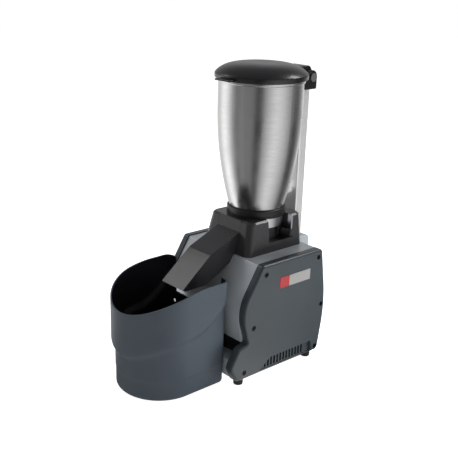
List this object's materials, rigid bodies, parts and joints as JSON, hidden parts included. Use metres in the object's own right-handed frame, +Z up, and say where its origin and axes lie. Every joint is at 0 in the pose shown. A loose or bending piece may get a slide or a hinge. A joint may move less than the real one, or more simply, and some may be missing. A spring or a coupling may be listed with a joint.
{
  "type": "ice crusher",
  "caption": "Countertop ice crusher with a tall lidded steel bowl, a sloping chute and a U-shaped collecting bucket.",
  "frame": {"origin": "middle of the footprint of the machine and its bucket, on the table", "axes": "+Z up, front (chute and bucket) towards -Y, +X to the right side cover with the label"},
  "size_m": [0.2296, 0.4396, 0.565],
  "materials": {
    "cast_paint": "satin silver-grey paint",
    "slate_cover": "dark slate, semi-gloss",
    "housing_dark": "charcoal satin",
    "black_plastic": "black satin",
    "lid_black": "black semi-gloss",
    "bowl_steel": "brushed stainless",
    "column_steel": "polished stainless",
    "steel": "machined steel",
    "dark_steel": "blackened screws",
    "ring_silver": "satin",
    "bucket_slate": "matte slate blue-grey",
    "rubber": "black rubber",
    "gasket": "soft grey rubber",
    "stack_iron": "varnished laminations",
    "copper": "enamelled copper",
    "bell_alloy": "cast alloy",
    "label_red": "plain red",
    "label_silver": "plain silver",
    "terminal_cream": "cream plastic",
    "capacitor_grey": "grey plastic can",
    "rocker_red": "black rocker"
  },
  "bodies": {
    "base": {"body_casting": "cast_paint", "recess_panel": "black_plastic", "base_plate": "steel", "rubber_foot_rear_left": "rubber", "rubber_foot_front_left": "rubber", "rubber_foot_rear_right": "rubber", "rubber_foot_front_right": "rubber", "foot_screws": "dark_steel", "side_cover_right": "slate_cover", "side_cover_left": "slate_cover", "cover_screws_right": "dark_steel", "cover_screws_left": "dark_steel", "lid_column": "column_steel", "hinge_bracket": "black_plastic", "hinge_pin": "steel", "lid_switch": "black_plastic", "bowl_seat_ring": "black_plastic", "crusher_housing": "housing_dark", "window_trim": "ring_silver", "crusher_cup": "black_plastic", "stator_stack": "stack_iron", "upper_winding": "copper", "lower_winding": "copper", "upper_bell": "bell_alloy", "lower_bell": "bell_alloy", "upper_bearing": "steel", "lower_bearing": "steel", "motor_posts": "steel", "motor_bolts": "dark_steel", "shaft_seal": "rubber", "housing_screws": "dark_steel", "label_patch": "label_red", "label_plate": "label_silver", "switch_body": "black_plastic", "cable_gland": "black_plastic", "run_capacitor": "capacitor_grey", "terminal_block": "terminal_cream"},
    "lid_group": {"lid": "lid_black", "lid_gasket": "gasket"},
    "interlock": {"interlock_rod": "steel"},
    "bowl": {"hopper_bowl": "bowl_steel", "bowl_collar": "black_plastic"},
    "size_selector": {"size_ring": "ring_silver", "size_lever": "black_plastic", "lever_knob": "black_plastic"},
    "knives": {"fixed_knives": "steel"},
    "rotor": {"motor_shaft": "steel", "rotor_core": "stack_iron", "cooling_fan": "black_plastic", "crusher_disc": "steel", "crusher_blades": "steel", "disc_nut": "steel"},
    "chute_body": {"chute": "housing_dark"},
    "bucket": {"collecting_bucket": "bucket_slate"},
    "rocker": {"power_rocker": "rocker_red"}
  },
  "joints": [
    {"name": "lid_hinge", "type": "hinge", "parent": "base", "child": "lid_group", "pos_m": [0, 0.20075, 0.53], "axis": [-1, 0, 0], "range_deg": [0, 100]},
    {"name": "interlock_slide", "type": "slide", "parent": "base", "child": "interlock", "axis": [0, 0, 1], "range_m": [-0.0041, 0]},
    {"name": "bowl_twist", "type": "hinge", "parent": "base", "child": "bowl", "pos_m": [0, 0.09375, 0.3], "axis": [0, 0, 1], "range_deg": [0, 25]},
    {"name": "size_lever_turn", "type": "hinge", "parent": "base", "child": "size_selector", "pos_m": [0, 0.09375, 0.252], "axis": [0, 0, 1], "range_deg": [-34, 0]},
    {"name": "knife_lift", "type": "slide", "parent": "base", "child": "knives", "axis": [0, 0, 1], "range_m": [-0.0041, 0]},
    {"name": "rotor_spin", "type": "hinge", "parent": "base", "child": "rotor", "pos_m": [0, 0.09375, 0.2], "axis": [0, 0, 1], "continuous": true},
    {"name": "chute_lift", "type": "slide", "parent": "base", "child": "chute_body", "axis": [0, 0, 1], "range_m": [0, 0.04]},
    {"name": "bucket_slide", "type": "slide", "parent": "base", "child": "bucket", "axis": [0, -1, 0], "range_m": [0, 0.2]},
    {"name": "power_rocker_tilt", "type": "hinge", "parent": "base", "child": "rocker", "pos_m": [-0.11, 0.09375, 0.15], "axis": [0, 1, 0], "range_deg": [0, 16]}
  ],
  "couplings": [
    {"joint": "interlock_slide", "follows": "lid_hinge", "m_per_rad": -0.0023},
    {"joint": "knife_lift", "follows": "size_lever_turn", "m_per_rad": 0.0068}
  ]
}
